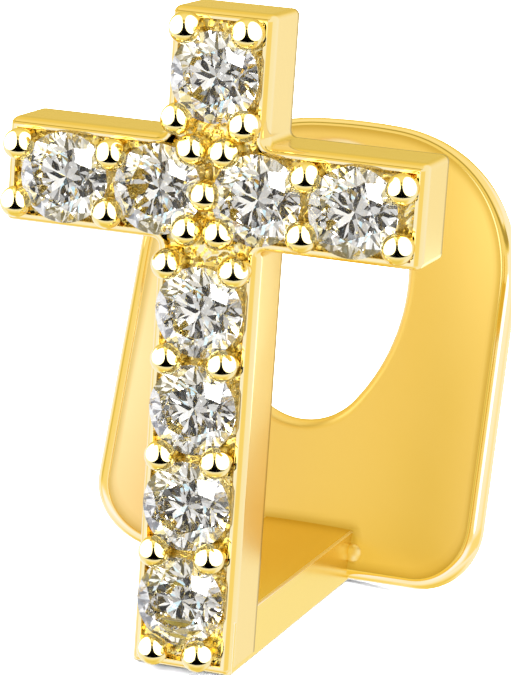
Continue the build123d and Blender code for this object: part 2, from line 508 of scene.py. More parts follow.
def beads(material):
    """All the beads, as one mesh."""
    mesh = bpy.data.meshes.new("beads")
    mesh.from_pydata([(x, BEAD_Y, z) for x, z in bead_spots()], [], [])
    mesh.transform(TO_PART)
    piece = new_object("beads", mesh)
    modifier = piece.modifiers.new("beads", "NODES")
    modifier.node_group = bead_tree()
    values = {
        "Bead Radius": BEAD_RADIUS * MM,
        "Post Radius": BEAD_POST_RADIUS * MM,
        "Post Length": (RECESS_DEPTH - BEAD_Y + BEAD_POST_ROOT) * MM,
        "Size Spread": BEAD_SIZE_SPREAD,
        "Seed": BEAD_SEED,
        "Finish": material,
    }
    for item in modifier.node_group.interface.items_tree:
        if item.name in values:
            modifier[item.identifier] = values[item.name]
    return sharpen(plain_mesh(piece), SHARP_ANGLE)


# Bridge
def bridge(material, highlight_material):
    """Flat bar from inside the foot into the plate, its far end leaning as the plate does."""
    half = BAR_HALF - BRIDGE_FLUSH_STEP
    start = OUTLINE_ROUND
    end = PLATE_Y + BRIDGE_BITE
    end_high = end + BRIDGE_THICKNESS * math.tan(PLATE_LEAN)
    low, high = 0.0, BRIDGE_THICKNESS
    side = [(start, low), (end, low), (end_high, high), (start, high)]
    points = [(-half, y, z) for y, z in side] + [(half, y, z) for y, z in side]
    faces = [(0, 1, 2, 3), (7, 6, 5, 4)]
    faces += [(k, k + 4, (k + 1) % 4 + 4, (k + 1) % 4) for k in range(4)]
    piece = mesh_piece("bridge", points, faces, material)
    bevel = piece.modifiers.new("edges", "BEVEL")
    bevel.width = BRIDGE_EDGE_ROUND * MM
    bevel.segments = BRIDGE_EDGE_STEPS
    bevel.harden_normals = True
    # The bevelled edges take a much paler gold: a painted highlight
    piece.data.materials.append(highlight_material)
    bevel.material = 1
    return plain_mesh(piece)


# Back plate
def rounded_polygon(corners):
    """Closed outline through corners given as (x, z, radius), each rounded by its radius."""
    outline = []
    count = len(corners)
    for k, (x, z, radius) in enumerate(corners):
        corner = Vector((x, z))
        back = (Vector(corners[k - 1][:2]) - corner).normalized()
        ahead = (Vector(corners[(k + 1) % count][:2]) - corner).normalized()
        half_angle = back.angle(ahead) / 2
        tangent = radius / math.tan(half_angle)
        centre = corner + (back + ahead).normalized() * radius / math.sin(half_angle)
        start = corner + back * tangent - centre
        turn = math.pi - 2 * half_angle
        for step in range(OUTLINE_STEPS + 1):
            swing = Matrix.Rotation(turn * step / OUTLINE_STEPS, 2)
            outline.append(centre + swing @ start)
    return outline


def plate_outline():
    shoulder = PLATE_HEIGHT - PLATE_CROWN
    return rounded_polygon([
        (-PLATE_BOTTOM_HALF, 0.0, PLATE_BOTTOM_CORNER),
        (PLATE_BOTTOM_HALF, 0.0, PLATE_BOTTOM_CORNER),
        (PLATE_TOP_HALF, shoulder, PLATE_TOP_CORNER),
        (0.0, PLATE_HEIGHT, PLATE_CROWN_ROUND),
        (-PLATE_TOP_HALF, shoulder, PLATE_TOP_CORNER),
    ])


def window_outline():
    """Upright oval of four tangent arcs, its foot on the origin."""
    wide = WINDOW_HALF_WIDTH
    high = (PLATE_HEIGHT - WINDOW_TOP_MARGIN - WINDOW_BOTTOM_MARGIN) / 2
    end_radius = WINDOW_END_SHARE * wide
    end_centre = high - end_radius
    side_radius = (wide**2 + end_centre**2 - end_radius**2) / (2 * (wide - end_radius))
    side_centre = side_radius - wide
    spread = math.atan2(end_centre, side_centre)
    arcs = [
        (-side_centre, 0.0, side_radius, -spread, spread),
        (0.0, end_centre, end_radius, spread, math.pi - spread),
        (side_centre, 0.0, side_radius, math.pi - spread, math.pi + spread),
        (0.0, -end_centre, end_radius, math.pi + spread, 2 * math.pi - spread),
    ]
    outline = []
    for x, z, radius, start, end in arcs:
        for across, along in quarter(radius, start, end, OUTLINE_STEPS):
            outline.append(Vector((x + across, high + z + along)))
    return outline


def unrolled(outline, shift, lift):
    """The outline laid out flat on the plate's curve: x becomes the length along the curve."""
    return [Vector((PLATE_CURVE * math.asin((p.x + shift) / PLATE_CURVE), p.y + lift)) for p in outline]


def units(arrows):
    return arrows / np.linalg.norm(arrows, axis=1)[:, None]


def spokes(outline, middle):
    """Points of a closed outline and its outward directions, at even angles about the middle."""
    flat = np.array([(p.x - middle.x, p.y - middle.y) for p in outline])
    keep = np.linalg.norm(flat - np.roll(flat, 1, axis=0), axis=1) > EDGE_STEP / 4
    flat = flat[keep]
    ahead = np.roll(flat, -1, axis=0) - flat
    back = flat - np.roll(flat, 1, axis=0)
    along = units(units(ahead) + units(back))
    out = np.stack([along[:, 1], -along[:, 0]], axis=1)
    angles = np.arctan2(flat[:, 1], flat[:, 0])
    order = np.argsort(angles)
    even = -math.pi + 2 * math.pi * np.arange(PLATE_SPOKES) / PLATE_SPOKES
    columns = [np.interp(even, angles[order], data[order], period=2 * math.pi)
               for data in (flat[:, 0], flat[:, 1], out[:, 0], out[:, 1])]
    spots = np.stack(columns[:2], axis=1) + np.array((middle.x, middle.y))
    return spots, units(np.stack(columns[2:], axis=1))


def on_plate(flat, depth):
    """A point of the unrolled plate, this deep behind its inner face, rolled up and leaned back."""
    angle = flat[0] / PLATE_CURVE
    radius = PLATE_CURVE + depth
    x = radius * math.sin(angle)
    y = radius * math.cos(angle) - PLATE_CURVE
    z = flat[1]
    cos, sin = math.cos(PLATE_LEAN), math.sin(PLATE_LEAN)
    return (x + PLATE_SHIFT, PLATE_Y + y * cos + z * sin, PLATE_LIFT - y * sin + z * cos)


def edge_profile(front_round, back_round):
    """From the inner face round the plate's edge to its back, as (inset, depth) pairs."""
    depth = PLATE_THICKNESS
    profile = [(front_round + EDGE_STEP, 0.0)]
    profile += [(front_round - s, front_round - c) for c, s in quarter(front_round)]
    profile.append((0.0, front_round + EDGE_STEP))
    profile.append((0.0, depth - back_round - EDGE_STEP))
    profile += [(back_round - c, depth - back_round + s) for c, s in quarter(back_round)]
    profile.append((back_round + EDGE_STEP, depth))
    return profile


def back_plate(material, rim_material):
    """The curved plate: its polished rim and window edge, and the two satin faces between them."""
    window = unrolled(window_outline(), WINDOW_SHIFT, WINDOW_BOTTOM_MARGIN)
    middle = sum(window, Vector((0.0, 0.0))) / len(window)
    rim, rim_out = spokes(unrolled(plate_outline(), 0.0, 0.0), middle)
    hole, hole_out = spokes(window, middle)
    rim_profile = edge_profile(PLATE_INNER_ROUND, PLATE_BACK_ROUND)
    hole_profile = edge_profile(WINDOW_INNER_ROUND, WINDOW_BACK_ROUND)
    rings = [(rim - rim_out * inset, depth) for inset, depth in rim_profile]
    hole_rings = [(hole + hole_out * inset, depth) for inset, depth in hole_profile]
    inner_rim, inner_hole = rings[0][0], hole_rings[0][0]
    back_rim, back_hole = rings[-1][0], hole_rings[-1][0]
    for k in range(1, PLATE_LOOPS):
        share = k / PLATE_LOOPS
        rings.append((back_rim * (1 - share) + back_hole * share, PLATE_THICKNESS))
    rings += reversed(hole_rings)
    for k in range(1, PLATE_LOOPS):
        share = 1 - k / PLATE_LOOPS
        rings.append((inner_rim * (1 - share) + inner_hole * share, 0.0))
    points = [on_plate(flat, depth) for ring, depth in rings for flat in ring]
    faces = ring_faces(len(rings), PLATE_SPOKES)
    last = (len(rings) - 1) * PLATE_SPOKES
    for k in range(PLATE_SPOKES):
        after = (k + 1) % PLATE_SPOKES
        faces.append((last + k, last + after, after, k))
    piece = mesh_piece("back_plate", points, faces, material)
    # Painted shade: the inner face darkens along the rim and beside the bridge where it meets the plate
    near = np.array([np.linalg.norm(ring - inner_rim, axis=1) for ring, depth in rings]).ravel()
    x, z = np.array(points)[:, 0], np.array(points)[:, 2]
    beside = np.hypot(np.maximum(np.abs(x) - BAR_HALF, 0.0), np.maximum(z - BRIDGE_THICKNESS, 0.0))
    inner = np.repeat([depth == 0.0 for ring, depth in rings], PLATE_SPOKES)
    painted_edge_shade(piece, np.where(inner, np.minimum(near, beside), near), RIM_SHADE_REACH)
    return second_finish(piece, rim_material, range((len(rim_profile) - 1) * PLATE_SPOKES))


# Solder
def solder(material):
    """A bead of solder left where the bridge's right side meets the plate."""
    points = [Vector((0.0, 0.0, 1.0)), Vector((0.0, 0.0, -1.0))]
    for ring in range(1, SOLDER_RINGS):
        rise = math.pi * (0.5 - ring / SOLDER_RINGS)
        points += [direction(2 * math.pi * k / SOLDER_SEGMENTS, rise) for k in range(SOLDER_SEGMENTS)]
    faces = [[k + 2 for k in face] for face in ring_faces(SOLDER_RINGS - 1, SOLDER_SEGMENTS)]
    last = len(points) - SOLDER_SEGMENTS
    for k in range(SOLDER_SEGMENTS):
        after = (k + 1) % SOLDER_SEGMENTS
        faces += [(0, k + 2, after + 2), (1, last + after, last + k)]
    angle = math.asin((BAR_HALF + SOLDER_OUT - PLATE_SHIFT) / PLATE_CURVE)
    spot = Vector(on_plate((angle * PLATE_CURVE, SOLDER_UP), 0.0))
    place = Matrix.Translation(spot) @ Matrix.Rotation(-PLATE_LEAN, 4, "X")
    place @= Matrix.Diagonal((*SOLDER_SIZE, 1.0))
    return mesh_piece("solder", [place @ point for point in points], faces, material)


# Stones
def cut(shape, point, normal):
    """Cuts everything in front of this plane off a convex shape and closes it with one facet."""
    parts = shape.verts[:] + shape.edges[:] + shape.faces[:]
    made = bmesh.ops.bisect_plane(shape, geom=parts, dist=CUT_TOLERANCE, plane_co=point,
                                  plane_no=normal, clear_outer=True)
    edges = [e for e in made["geom_cut"] if isinstance(e, bmesh.types.BMEdge)]
    if edges:
        bmesh.ops.contextual_create(shape, geom=edges)


def plane_through(a, b, c):
    """A point and the outward normal of the plane through three points, outward from the axis."""
    normal = (Vector(b) - Vector(a)).cross(Vector(c) - Vector(a)).normalized()
    return a, normal if normal.dot(Vector(a)) > 0 else -normal


def brilliant():
    """One brilliant in millimetres, its axis on Z, the middle of its girdle at Z = 0, its table up."""
    radius = STONE_RADIUS
    top = GIRDLE_HEIGHT / 2
    table_z = top + CROWN_HEIGHT
    half_step = math.pi / MAIN_FACETS
    table_edge = TABLE_RADIUS * math.cos(half_step)
    crown_slope = CROWN_HEIGHT / (radius - TABLE_RADIUS)
    pavilion_slope = PAVILION_DEPTH / radius
    star_radius = table_edge + STAR_REACH * (radius - table_edge)
    star_z = top + (radius - star_radius * math.cos(half_step)) * crown_slope
    low_radius = radius * (1 - LOWER_FACET_REACH)
    low_z = -top - (radius - low_radius * math.cos(half_step)) * pavilion_slope

    def at(distance, angle, height):
        return (distance * math.cos(angle), distance * math.sin(angle), height)

    shape = bmesh.new()
    bmesh.ops.create_cone(shape, cap_ends=True, segments=GIRDLE_SIDES, radius1=radius, radius2=radius,
                          depth=4 * radius)
    planes = [((0, 0, table_z), (0, 0, 1))]
    for k in range(MAIN_FACETS):
        main = 2 * k * half_step
        crown = math.atan(crown_slope)
        below = math.atan(pavilion_slope)
        planes.append((at(radius, main, top), at(math.sin(crown), main, math.cos(crown))))
        planes.append((at(radius, main, -top), at(math.sin(below), main, -math.cos(below))))
        star = main + half_step
        rise = math.atan2(table_z - star_z, star_radius - table_edge)
        planes.append((at(table_edge, star, table_z), at(math.sin(rise), star, math.cos(rise))))
        for side in (-1, 1):
            edge = main + side * half_step
            planes.append(plane_through(at(radius, main, top), at(radius, edge, top),
                                        at(star_radius, edge, star_z)))
            planes.append(plane_through(at(radius, main, -top), at(radius, edge, -top),
                                        at(low_radius, edge, low_z)))
    for point, normal in planes:
        cut(shape, point, normal)
    mesh = bpy.data.meshes.new("brilliant")
    shape.to_mesh(mesh)
    shape.free()
    return mesh


def set_stone(name, mesh, material):
    """The stone in place of its plain solid, its table facing the front."""
    x, z = STONE_SPOTS[name]
    copy = mesh.copy()
    copy.transform(TO_PART @ Matrix.Translation((x, GIRDLE_Y, z)) @ Matrix.Rotation(math.pi / 2, 4, "X"))
    copy.materials.append(material)
    return new_object(name.replace("stone", "brilliant"), copy)


# Finishes
HAIR_SCALE = 2500.0
HAIR_STRETCH = 0.12
HAIR_DETAIL = 6.0
CLOUD_SCALE = 900.0
CLOUD_DETAIL = 3.0
STONE_IOR = 2.4
GOLD = (0.945, 0.765, 0.33)
# Colour of the painted shade on the setting's walls
PAINTED_WALL_SHADE = (0.3, 0.2, 0.05)
# Colour, roughness and its spread, depth of the scratches, and the colour of painted shade beside marked
# edges
# Lit and shaded copies of the one gold: paler on the beads and the plate's rim for painted highlights,
# deeper on the plate's satin faces and the bridge for painted shade
METALS = {
    "setting_gold": (GOLD, 0.05, 0.05, 0.0004, PAINTED_WALL_SHADE),
    "bead_gold": ((0.93, 0.8, 0.38), 0.08, 0.04, 0.0002),
    "brushed_gold": (GOLD, 0.2, 0.06, 0.0006, PAINTED_WALL_SHADE),
    "satin_gold": ((0.96, 0.745, 0.29), 0.3, 0.08, 0.0006, (0.7, 0.5, 0.12)),
    "grained_gold": ((0.9, 0.77, 0.38), 0.12, 0.1, 0.004, (0.4, 0.28, 0.05)),
    "rim_gold": ((0.98, 0.82, 0.44), 0.07, 0.05, 0.0004),
    "bridge_edge_highlight_gold": ((1.0, 0.92, 0.66), 0.3, 0.05, 0.0004),
    "bridge_gold": ((0.95, 0.75, 0.2), 0.2, 0.06, 0.0006),
    "seat_metal": ((0.9, 0.89, 0.86), 0.08, 0.05, 0.0002),
}


def new_material(name):
    """A material and its empty node tree."""
    material = bpy.data.materials.new(name)
    material.use_nodes = True
    material.node_tree.nodes.clear()
    return material, material.node_tree


def set_shader(tree, inputs, kind="ShaderNodeBsdfPrincipled"):
    """Adds a material's one shader and the output that it feeds."""
    shader = add_node(tree, kind, inputs)
    add_node(tree, "ShaderNodeOutputMaterial", {"Surface": shader.outputs[0]})


def polish_group():
    """Hand polish: hair-fine scratches and uneven gloss, for every metal."""
    group = bpy.data.node_groups.new("hand_polish", "ShaderNodeTree")
    add_sockets(group, "INPUT", {"Scratch Scale": "Float", "Gloss": "Float", "Gloss Spread": "Float"})
    add_sockets(group, "OUTPUT", {"Roughness": "Float", "Height": "Float"})
    given = group.nodes.new("NodeGroupInput").outputs
    place = group.nodes.new("ShaderNodeTexCoord").outputs["Object"]
    stretch = add_node(group, "ShaderNodeMapping", {"Vector": place, "Scale": (1.0, 1.0, HAIR_STRETCH)})
    hair = add_node(group, "ShaderNodeTexNoise", {
        "Vector": stretch.outputs["Vector"], "Scale": given["Scratch Scale"], "Detail": HAIR_DETAIL})
    cloud = add_node(group, "ShaderNodeTexNoise", {
        "Vector": place, "Scale": CLOUD_SCALE, "Detail": CLOUD_DETAIL})
    mixed = add_node(group, "ShaderNodeMath", {
        0: cloud.outputs["Fac"], 1: given["Gloss Spread"], 2: given["Gloss"]}, operation="MULTIPLY_ADD")
    add_node(group, "NodeGroupOutput", {
        "Roughness": mixed.outputs["Value"], "Height": hair.outputs["Fac"]})
    return group


def polished_metal(name, polish, colour, gloss, spread, scratch_depth, painted_shade_colour=None):
    """A metal with polishing hairs; given a shade colour, it is darkened beside the edges that its piece
    has marked, as painted shade.
    """
    material, tree = new_material(name)
    base = (*colour, 1.0)
    if painted_shade_colour:
        near = add_node(tree, "ShaderNodeAttribute", attribute_name="painted_edge_shade")
        mix = add_node(tree, "ShaderNodeMix", {
            0: near.outputs["Fac"], 6: base, 7: (*painted_shade_colour, 1.0)}, data_type="RGBA")
        base = mix.outputs[2]
    hand = add_node(tree, "ShaderNodeGroup", {
        "Scratch Scale": HAIR_SCALE, "Gloss": gloss, "Gloss Spread": spread}, node_tree=polish)
    bump = add_node(tree, "ShaderNodeBump", {
        "Strength": 1.0, "Distance": scratch_depth * MM, "Height": hand.outputs["Height"]})
    set_shader(tree, {
        "Base Color": base, "Metallic": 1.0, "Roughness": hand.outputs["Roughness"],
        "Normal": bump.outputs["Normal"]})
    return material


def clear_stone():
    """Colourless brilliant with a high refractive index."""
    material, tree = new_material("clear_stone")
    set_shader(tree, {
        "Base Color": (1.0, 1.0, 1.0, 1.0), "Roughness": 0.0, "IOR": STONE_IOR,
        "Transmission Weight": 1.0})
    return material


polish = polish_group()
finish = {name: polished_metal(name, polish, *values) for name, values in METALS.items()}
crystal = clear_stone()

# The metal's pieces stand for the one metal solid, and each brilliant for its own
setting = cross_setting(finish["setting_gold"], finish["brushed_gold"])
ground = grained_floor(finish["grained_gold"], finish["seat_metal"])
bead_piece = beads(finish["bead_gold"])
bar = bridge(finish["bridge_gold"], finish["bridge_edge_highlight_gold"])
plate = back_plate(finish["satin_gold"], finish["rim_gold"])
solder_bump = solder(finish["satin_gold"])
metal = [setting, ground, bead_piece, bar, plate, solder_bump]
for piece in metal:
    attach(piece, "root")
    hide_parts("cap_metal")
brilliant_mesh = brilliant()
stones = []
for name in STONES:
    piece = set_stone(name, brilliant_mesh, crystal)
    stones.append(piece)
    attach(piece, "root")
    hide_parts(name)
bpy.data.meshes.remove(brilliant_mesh)

# Camera: seen from the right and above, turned a little
VIEW_AZIMUTH = math.radians(17.855)
VIEW_ELEVATION = math.radians(11.789)
VIEW_ROLL = math.radians(3.97)
VIEW_DISTANCE = 63.66
VIEW_LENS = 178.99
VIEW_SENSOR = 36.0
VIEW_NEAR = 0.001
VIEW_FAR = 10.0
AIM_DEPTH = 0.07
AIM_RIGHT = 1.022
AIM_UP = -2.677


def view_axes():
    """Right, up and towards the eye, before the roll."""
    right = Vector((math.cos(VIEW_AZIMUTH), math.sin(VIEW_AZIMUTH), 0.0))
    back = direction(VIEW_AZIMUTH, VIEW_ELEVATION)
    return right, back.cross(right), back


def camera():
    data = bpy.data.cameras.new("camera")
    data.sensor_fit = "VERTICAL"
    data.sensor_height = VIEW_SENSOR
    data.lens = VIEW_LENS
    data.clip_start = VIEW_NEAR
    data.clip_end = VIEW_FAR
    eye = new_object("camera", data)
    right, up, back = view_axes()
    aim = TO_PART @ Vector((0.0, AIM_DEPTH, CROSSING_Z))
    place = aim + (right * AIM_RIGHT + up * AIM_UP + back * VIEW_DISTANCE) * MM
    turned_right = right * math.cos(VIEW_ROLL) + up * math.sin(VIEW_ROLL)
    turned_up = up * math.cos(VIEW_ROLL) - right * math.sin(VIEW_ROLL)
    turn = Matrix((turned_right, turned_up, back)).transposed().to_4x4()
    eye.matrix_world = Matrix.Translation(place) @ turn
    bpy.context.scene.camera = eye


camera()


# Floor and light
FLOOR_REACH = 0.6
FLOOR_COLOUR = (0.9, 0.9, 0.9, 1.0)


def floor():
    mesh = bpy.data.meshes.new("floor")
    signs = ((-1, -1), (1, -1), (1, 1), (-1, 1))
    mesh.from_pydata([(x * FLOOR_REACH, y * FLOOR_REACH, 0.0) for x, y in signs], [], [(0, 1, 2, 3)])
    material, tree = new_material("pale_floor")
    set_shader(tree, {"Base Color": FLOOR_COLOUR, "Roughness": 1.0, "Specular IOR Level": 0.0})
    mesh.materials.append(material)
    sheet = new_object("floor", mesh)
    sheet.visible_glossy = False
    sheet.visible_transmission = False


LIGHT_PEAK = 3.2
FLOOR_LIGHT = 7.0
# Brightness from 0 to 1, and the colour of studio light that gives gold that step of its range
LIGHT_STEPS = [
    (0.0, (0.02, 0.016, 0.01)),
    (0.15, (0.23, 0.15, 0.03)),
    (0.35, (0.61, 0.49, 0.14)),
    (0.5, (0.93, 0.74, 0.23)),
    (0.65, (1.02, 0.89, 0.5)),
    (0.8, (1.04, 1.08, 1.3)),
    (1.0, (1.1, 1.4, 3.2)),
]


class Sums:
    """Short ways to write sums about a direction of sight in a shader tree.

    azimuth is counted from the camera's side, positive to its right, and elevation from level, both in
    degrees; aside is the azimuth without its sign.
    """

    def __init__(self, tree, sight):
        self.tree, self.sight = tree, sight
        unit = add_node(tree, "ShaderNodeVectorMath", {0: sight}, operation="NORMALIZE")
        turn = add_node(tree, "ShaderNodeVectorRotate", {
            "Vector": unit.outputs["Vector"], "Angle": -VIEW_AZIMUTH}, rotation_type="Z_AXIS")
        split = add_node(tree, "ShaderNodeSeparateXYZ", {"Vector": turn.outputs["Vector"]})
        forward = self.math("MULTIPLY", split.outputs["Y"], -1.0)
        self.azimuth = self.degrees(self.math("ARCTAN2", split.outputs["X"], forward))
        self.elevation = self.degrees(self.math("ARCSINE", split.outputs["Z"]))
        self.aside = self.math("ABSOLUTE", self.azimuth)

    def math(self, operation, *values):
        inputs = dict(enumerate(values))
        return add_node(self.tree, "ShaderNodeMath", inputs, operation=operation).outputs["Value"]

    def degrees(self, angle):
        return self.math("MULTIPLY", angle, 180 / math.pi)

    def along(self, axis):
        """How far the direction of sight points along an axis."""
        inputs = {0: self.sight, 1: axis}
        return add_node(self.tree, "ShaderNodeVectorMath", inputs, operation="DOT_PRODUCT").outputs["Value"]

    def ramp(self, value, low, high, start=0.0, end=1.0):
        return add_node(self.tree, "ShaderNodeMapRange", {
            "Value": value, "From Min": low, "From Max": high, "To Min": start, "To Max": end,
        }, interpolation_type="SMOOTHSTEP").outputs["Result"]

    def blend(self, share, low, high):
        """low where share is 0, high where it is 1."""
        return self.math("ADD", self.math("MULTIPLY", share, high),
                         self.math("MULTIPLY", self.math("SUBTRACT", 1.0, share), low))

    def patch(self, wide, high, soft):
        """1 inside a soft-edged window of azimuths and elevations, 0 outside."""
        level = 1.0
        for angle, (low, top) in ((self.azimuth, wide), (self.elevation, high)):
            level = self.math("MULTIPLY", level, self.ramp(angle, low - soft, low + soft))
            level = self.math("MULTIPLY", level, self.ramp(angle, top - soft, top + soft, 1.0, 0.0))
        return level


# Studio as the metal sees it: levels from 0 to 1, angles in degrees from the camera's side
TABLE_EDGE = -43.0
TABLE_EDGE_TURN = 0.6
TABLE_EDGE_SOFT = 1.5
TABLE_NEAR = -75.0
TABLE_LEVELS = (0.35, 0.78)
WALL_LEVELS = (0.5, 0.66)
CEILING_EDGE = (40.0, 75.0)
PALE_CARD = ((-75.0, 5.0), (-40.0, 8.0), 20.0)
PALE_CARD_LEVELS = (0.62, 0.84)
HORIZON_SOFT = 8.0
REAR_EDGE = (85.0, 100.0)
# Pale boxes and dark gaps on the walls: azimuths, elevations, softness of the border and level
WALL_PATCHES = [
    ((-60.0, 10.0), (-20.0, 45.0), 18.0, 0.6),
    ((0.0, 70.0), (-10.0, 70.0), 14.0, 0.78),
    ((20.0, 150.0), (-60.0, 60.0), 15.0, 0.77),
    ((-180.0, -92.0), (-60.0, 8.0), 8.0, 0.78),
    ((155.0, 200.0), (2.0, 30.0), 6.0, 0.43),
    ((-200.0, -155.0), (2.0, 30.0), 6.0, 0.43),
    ((-110.0, 60.0), (48.0, 62.0), 4.0, 0.26),
    ((-84.0, -70.0), (-60.0, 55.0), 4.0, 0.4),
]


def studio_group():
    """The studio as the metal sees it: light colour by direction."""
    group = bpy.data.node_groups.new("studio_light", "ShaderNodeTree")
    add_sockets(group, "INPUT", {"Direction": "Vector"})
    add_sockets(group, "OUTPUT", {"Color": "Color"})
    sums = Sums(group, group.nodes.new("NodeGroupInput").outputs["Direction"])

    # Walls, brighter overhead
    walls = sums.ramp(sums.elevation, *CEILING_EDGE, *WALL_LEVELS)
    for wide, high, soft, level in WALL_PATCHES:
        walls = sums.blend(sums.patch(wide, high, soft), walls, level)
    # The table's far edge dips towards the eye; a pale card stands between it and the walls
    swing = sums.math("COSINE", sums.math("MULTIPLY", sums.aside, math.radians(TABLE_EDGE_TURN)))
    above = sums.math("SUBTRACT", sums.elevation, sums.math("MULTIPLY", swing, TABLE_EDGE))
    table = sums.ramp(above, TABLE_NEAR, 0.0, *TABLE_LEVELS)
    card = sums.blend(sums.patch(*PALE_CARD), *PALE_CARD_LEVELS)
    off_table = sums.ramp(above, -TABLE_EDGE_SOFT, TABLE_EDGE_SOFT)
    front = sums.blend(off_table, table, card)
    upper = sums.math("MULTIPLY", sums.ramp(sums.elevation, -HORIZON_SOFT, HORIZON_SOFT), off_table)
    upper = sums.math("MAXIMUM", upper, sums.ramp(sums.aside, *REAR_EDGE))
    tone = add_node(group, "ShaderNodeValToRGB", {"Fac": sums.blend(upper, front, walls)})
    steps = tone.color_ramp.elements
    while len(steps) < len(LIGHT_STEPS):
        steps.new(0.5)
    for step, (spot, colour) in zip(steps, LIGHT_STEPS):
        step.position = spot
        step.color = (*(part / LIGHT_PEAK for part in colour), 1.0)
    add_node(group, "NodeGroupOutput", {"Color": tone.outputs["Color"]})
    return group


# Room as the stones see it, by degrees off the line of sight
ROOM_BOXES = 8
ROOM_BOX_SOFT = 0.15
ROOM_BOX_LEVEL = 0.95
ROOM_DARK_LEVEL = 0.06
ROOM_FAR_EDGE = (57.0, 63.0)
ROOM_FAR_LEVEL = 0.64
ROOM_RING_EDGE = (28.0, 32.0)
ROOM_DISC_EDGE = (18.0, 22.0)
ROOM_DISC_LEVEL = 1.35
ROOM_SPOT_EDGE = (8.0, 12.0)
ROOM_LOW = (-50.0, 30.0)
ROOM_LOW_LEVEL = 0.8
ROOM_COLOUR = (1.0, 0.99, 0.96, 1.0)
ROOM_SPOT_COLOUR = (0.65, 0.9, 1.0, 1.0)


def studio_world(studio):
    """White for the eye, the studio for the metal and a room of its own for the stones."""
    world = bpy.data.worlds.new("studio")
    bpy.context.scene.world = world
    world.use_nodes = True
    tree = world.node_tree
    tree.nodes.clear()
    place = tree.nodes.new("ShaderNodeTexCoord").outputs["Generated"]
    seen = add_node(tree, "ShaderNodeGroup", {"Direction": place}, node_tree=studio)

    # For the stones: a bright disc round the eye with a cool spot in it, a dark ring, pale boxes with
    # dark gaps, and one plain level beyond them
    right, up, back = view_axes()
    sums = Sums(tree, place)
    off = sums.degrees(sums.math("ARCCOSINE", sums.along(back)))
    clock = sums.math("ARCTAN2", sums.along(up), sums.along(right))
    gaps = sums.math("COSINE", sums.math("MULTIPLY", clock, ROOM_BOXES))
    room = sums.blend(sums.ramp(gaps, -ROOM_BOX_SOFT, ROOM_BOX_SOFT), ROOM_BOX_LEVEL, ROOM_DARK_LEVEL)
    room = sums.blend(sums.ramp(off, *ROOM_FAR_EDGE), room, ROOM_FAR_LEVEL)
    room = sums.blend(sums.ramp(off, *ROOM_RING_EDGE), ROOM_DARK_LEVEL, room)
    room = sums.blend(sums.ramp(off, *ROOM_DISC_EDGE), ROOM_DISC_LEVEL, room)
    room = sums.math("MULTIPLY", room, sums.ramp(sums.elevation, *ROOM_LOW, ROOM_LOW_LEVEL, 1.0))
    tint = add_node(tree, "ShaderNodeMix", {
        0: sums.ramp(off, *ROOM_SPOT_EDGE), 6: ROOM_SPOT_COLOUR, 7: ROOM_COLOUR}, data_type="RGBA")

    def glow(**inputs):
        return add_node(tree, "ShaderNodeBackground", inputs).outputs["Background"]

    path = tree.nodes.new("ShaderNodeLightPath")
    shown = glow(Strength=LIGHT_PEAK, Color=seen.outputs["Color"])
    for ray, light in (
        ("Is Transmission Ray", glow(Strength=room, Color=tint.outputs[2])),
        ("Is Diffuse Ray", glow(Strength=FLOOR_LIGHT)),
        ("Is Camera Ray", glow(Strength=1.0)),
    ):
        shown = add_node(tree, "ShaderNodeMixShader", {
            "Fac": path.outputs[ray], 1: shown, 2: light}).outputs["Shader"]
    add_node(tree, "ShaderNodeOutputWorld", {"Surface": shown})
    world.cycles.sampling_method = "NONE"


def receivers(name, lit):
    """The pieces that a light falls on."""
    chosen = bpy.data.collections.new(name + "_receivers")
    for piece in lit:
        chosen.objects.link(piece)
    return chosen


# Card low in front, its edges in degrees from the camera's side
CARD_DISTANCE = 2.0
CARD_REACH = 100
CARD_STEP = 2
CARD_ROWS = 12
CARD_FOOT = -51.0
CARD_TONGUE = 40.0
CARD_TONGUE_REACH = 30.0
CARD_WING = 4.0
CARD_SLOPE = 30.0


def front_card(studio, lit):
    """A card low in front that goes on with the studio for these pieces, and is dark in the beads."""
    points, faces = [], []
    for turn in range(-CARD_REACH, CARD_REACH + 1, CARD_STEP):
        low = CARD_FOOT * math.cos(math.radians(TABLE_EDGE_TURN * abs(turn)))
        share = min(1.0, max(0.0, (abs(turn) - CARD_TONGUE_REACH) / CARD_SLOPE))
        high = CARD_TONGUE * (1 - share) + CARD_WING * share
        for row in range(CARD_ROWS + 1):
            rise = math.radians(low + (high - low) * row / CARD_ROWS)
            points.append(direction(VIEW_AZIMUTH + math.radians(turn), rise) * CARD_DISTANCE)
    for column in range(2 * CARD_REACH // CARD_STEP):
        for row in range(CARD_ROWS):
            first = column * (CARD_ROWS + 1) + row
            faces.append((first, first + CARD_ROWS + 1, first + CARD_ROWS + 2, first + 1))
    mesh = bpy.data.meshes.new("front_card")
    mesh.from_pydata([tuple(p) for p in points], [], faces)
    material, tree = new_material("card_light")
    place = tree.nodes.new("ShaderNodeTexCoord").outputs["Object"]
    seen = add_node(tree, "ShaderNodeGroup", {"Direction": place}, node_tree=studio)
    set_shader(tree, {"Strength": LIGHT_PEAK, "Color": seen.outputs["Color"]}, "ShaderNodeEmission")
    material.cycles.emission_sampling = "NONE"
    mesh.materials.append(material)
    card = new_object("front_card", mesh)
    for ray in ("camera", "diffuse", "transmission", "shadow"):
        setattr(card, "visible_" + ray, False)
    card.light_linking.receiver_collection = receivers("front_card", lit)


# Lights for single pieces
LIGHT_DISTANCE = 0.3
BEAD_GLOW = 1.1 * LIGHT_PEAK
# Soft boxes for the beads, in shares of their distance: side, shift forward and up, half length and
# height, then yaw and tilt in radians
BEAD_BOXES = {
    "left_box": (-1, -0.893, 3.312, 3.063, 3.985, 0.138, 0.193),
    "right_box": (1, -0.966, 1.887, 2.51, 2.547, 0.135, -0.083),
}
# Window for the stones: azimuth and elevation in degrees, half length and height in shares of its
# distance, brightness
STONE_WINDOW = (24.0, 36.0, 0.14, 0.2, 8.0)
